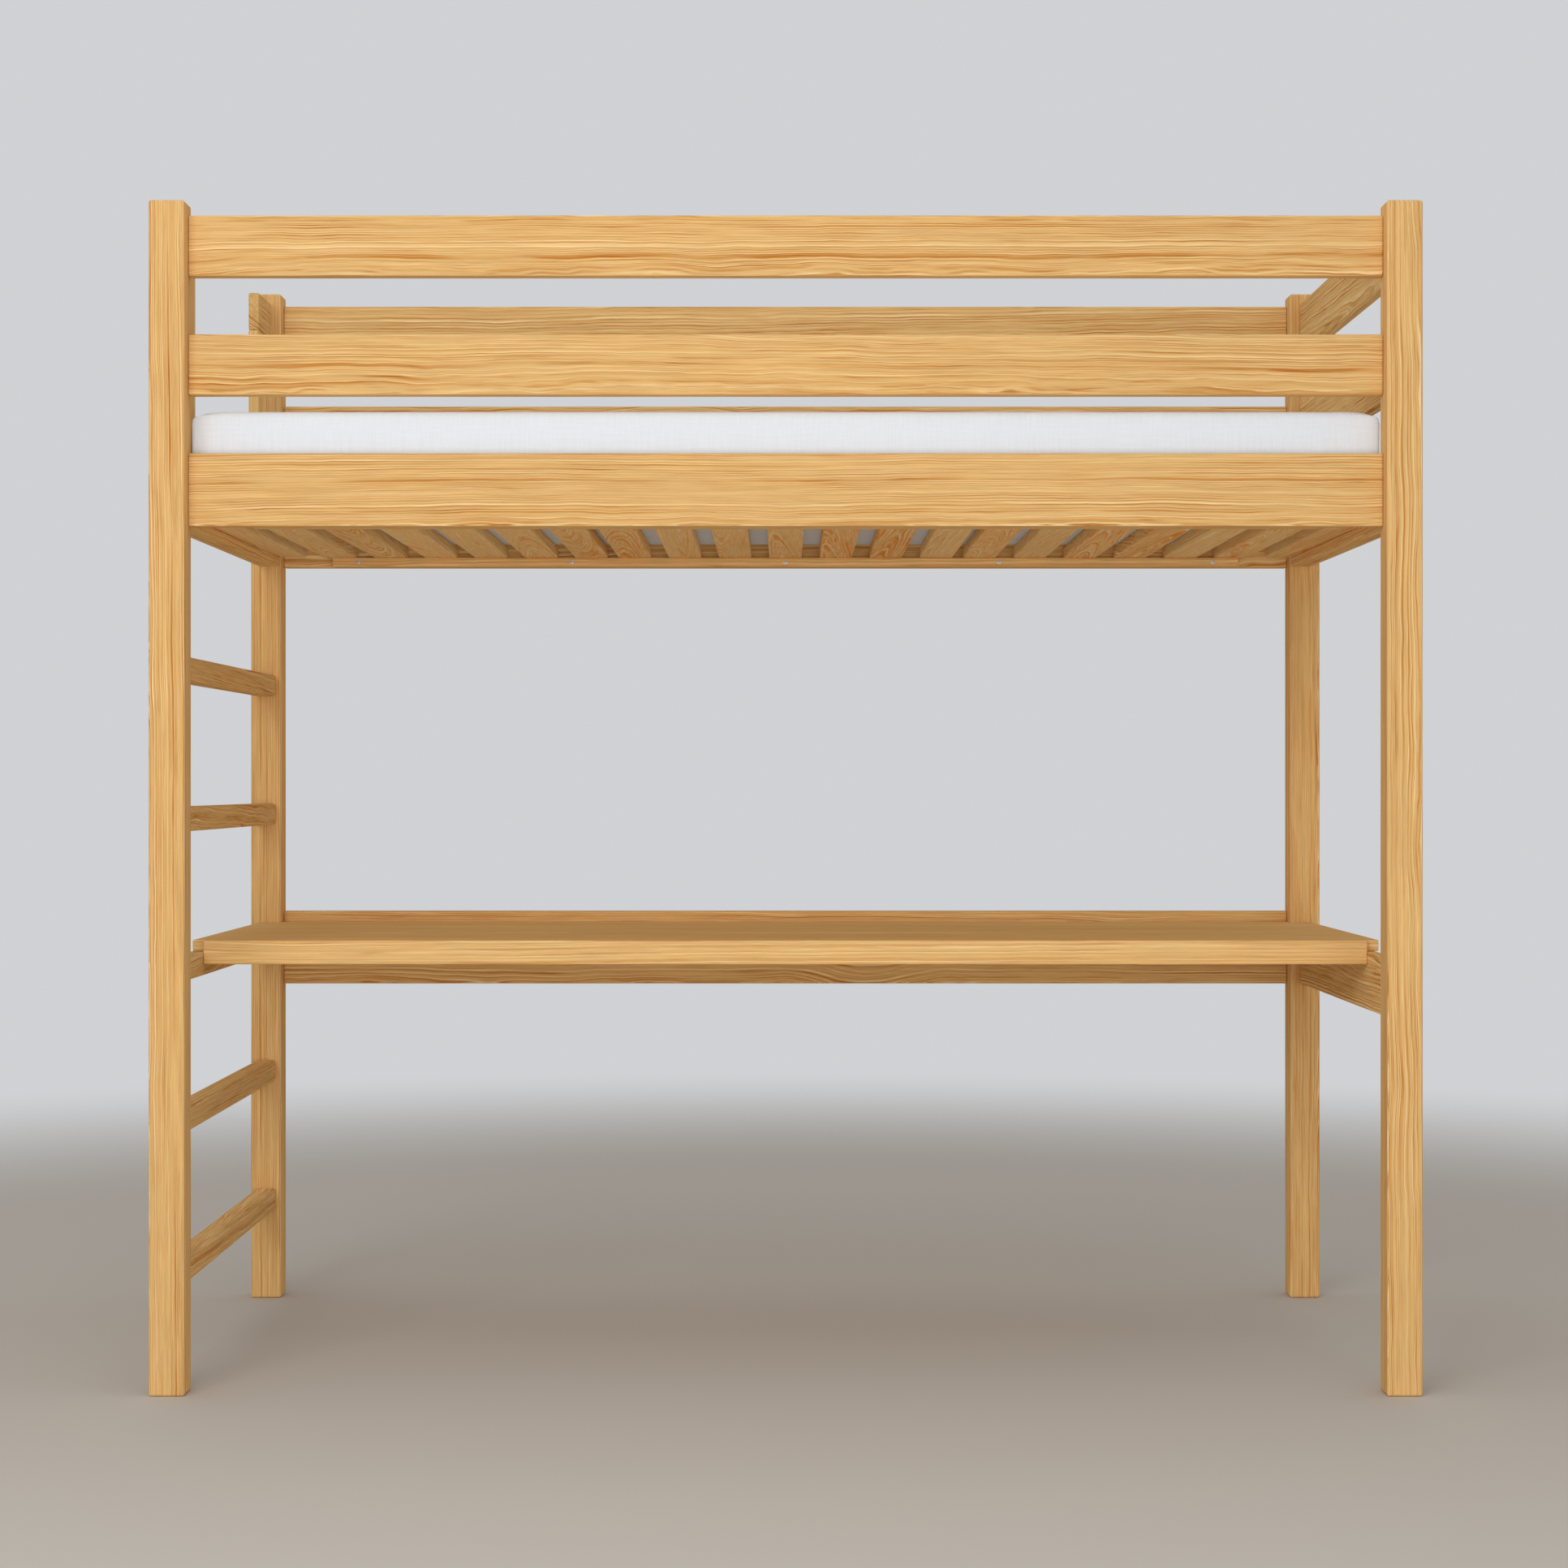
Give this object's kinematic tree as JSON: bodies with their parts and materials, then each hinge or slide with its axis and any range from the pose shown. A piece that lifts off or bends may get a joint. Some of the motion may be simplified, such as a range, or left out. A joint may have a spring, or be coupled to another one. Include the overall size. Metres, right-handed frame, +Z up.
{
  "type": "loft bed with desk",
  "caption": "High single bed on four square pine posts, with guard rails, a ladder built into one end and a full-length desk underneath.",
  "frame": {"origin": "on the floor, in the middle of the bed's footprint", "axes": "+X along the bed, away from the ladder end; +Y across the bed, from the open side where a person sits at the desk to the wall side; +Z up"},
  "size_m": [2.13, 1.008, 2],
  "materials": {
    "pine_posts": "satin",
    "pine_long_rails": "satin",
    "pine_end_boards": "satin",
    "pine_slats": "satin",
    "pine_desk": "satin",
    "mattress_cover": "matte",
    "zinc_steel": "satin"
  },
  "bodies": {
    "frame": {"back_desk_rail": "pine_long_rails", "back_desk_rail_bolt_left": "zinc_steel", "back_desk_rail_bolt_right": "zinc_steel", "back_middle_guard_rail": "pine_long_rails", "back_side_rail": "pine_long_rails", "back_side_rail_bolt_left": "zinc_steel", "back_side_rail_bolt_right": "zinc_steel", "back_top_guard_rail": "pine_long_rails", "desk_front_edge": "pine_desk", "desktop": "pine_desk", "front_middle_guard_rail": "pine_long_rails", "front_side_rail": "pine_long_rails", "front_side_rail_bolt_left": "zinc_steel", "front_side_rail_bolt_right": "zinc_steel", "front_top_guard_rail": "pine_long_rails", "grab_post_back": "pine_end_boards", "grab_post_front": "pine_end_boards", "grab_rail_back": "pine_end_boards", "grab_rail_front": "pine_end_boards", "ladder_rung_1": "pine_end_boards", "ladder_rung_2": "pine_end_boards", "ladder_rung_3_desk_bearer": "pine_end_boards", "ladder_rung_4": "pine_end_boards", "ladder_rung_5": "pine_end_boards", "left_end_rail": "pine_end_boards", "post_back_left": "pine_posts", "post_back_right": "pine_posts", "post_front_left": "pine_posts", "post_front_right": "pine_posts", "right_desk_bearer": "pine_end_boards", "right_end_rail": "pine_end_boards", "right_middle_guard_rail": "pine_end_boards", "right_top_guard_rail": "pine_end_boards", "slat_01": "pine_slats", "slat_02": "pine_slats", "slat_03": "pine_slats", "slat_04": "pine_slats", "slat_05": "pine_slats", "slat_06": "pine_slats", "slat_07": "pine_slats", "slat_08": "pine_slats", "slat_09": "pine_slats", "slat_10": "pine_slats", "slat_11": "pine_slats", "slat_12": "pine_slats", "slat_13": "pine_slats", "slat_14": "pine_slats", "slat_15": "pine_slats", "slat_16": "pine_slats", "slat_17": "pine_slats", "slat_18": "pine_slats", "slat_19": "pine_slats", "slat_20": "pine_slats", "slat_21": "pine_slats", "slat_cleat_back": "pine_slats", "slat_cleat_front": "pine_slats", "slat_cleat_left": "pine_slats", "slat_cleat_right": "pine_slats"},
    "mattress": {"mattress": "mattress_cover"}
  },
  "joints": [
    {"name": "mattress_lift", "type": "slide", "parent": "frame", "child": "mattress", "axis": [0, 0, 1], "range_m": [0, 0.52]}
  ]
}
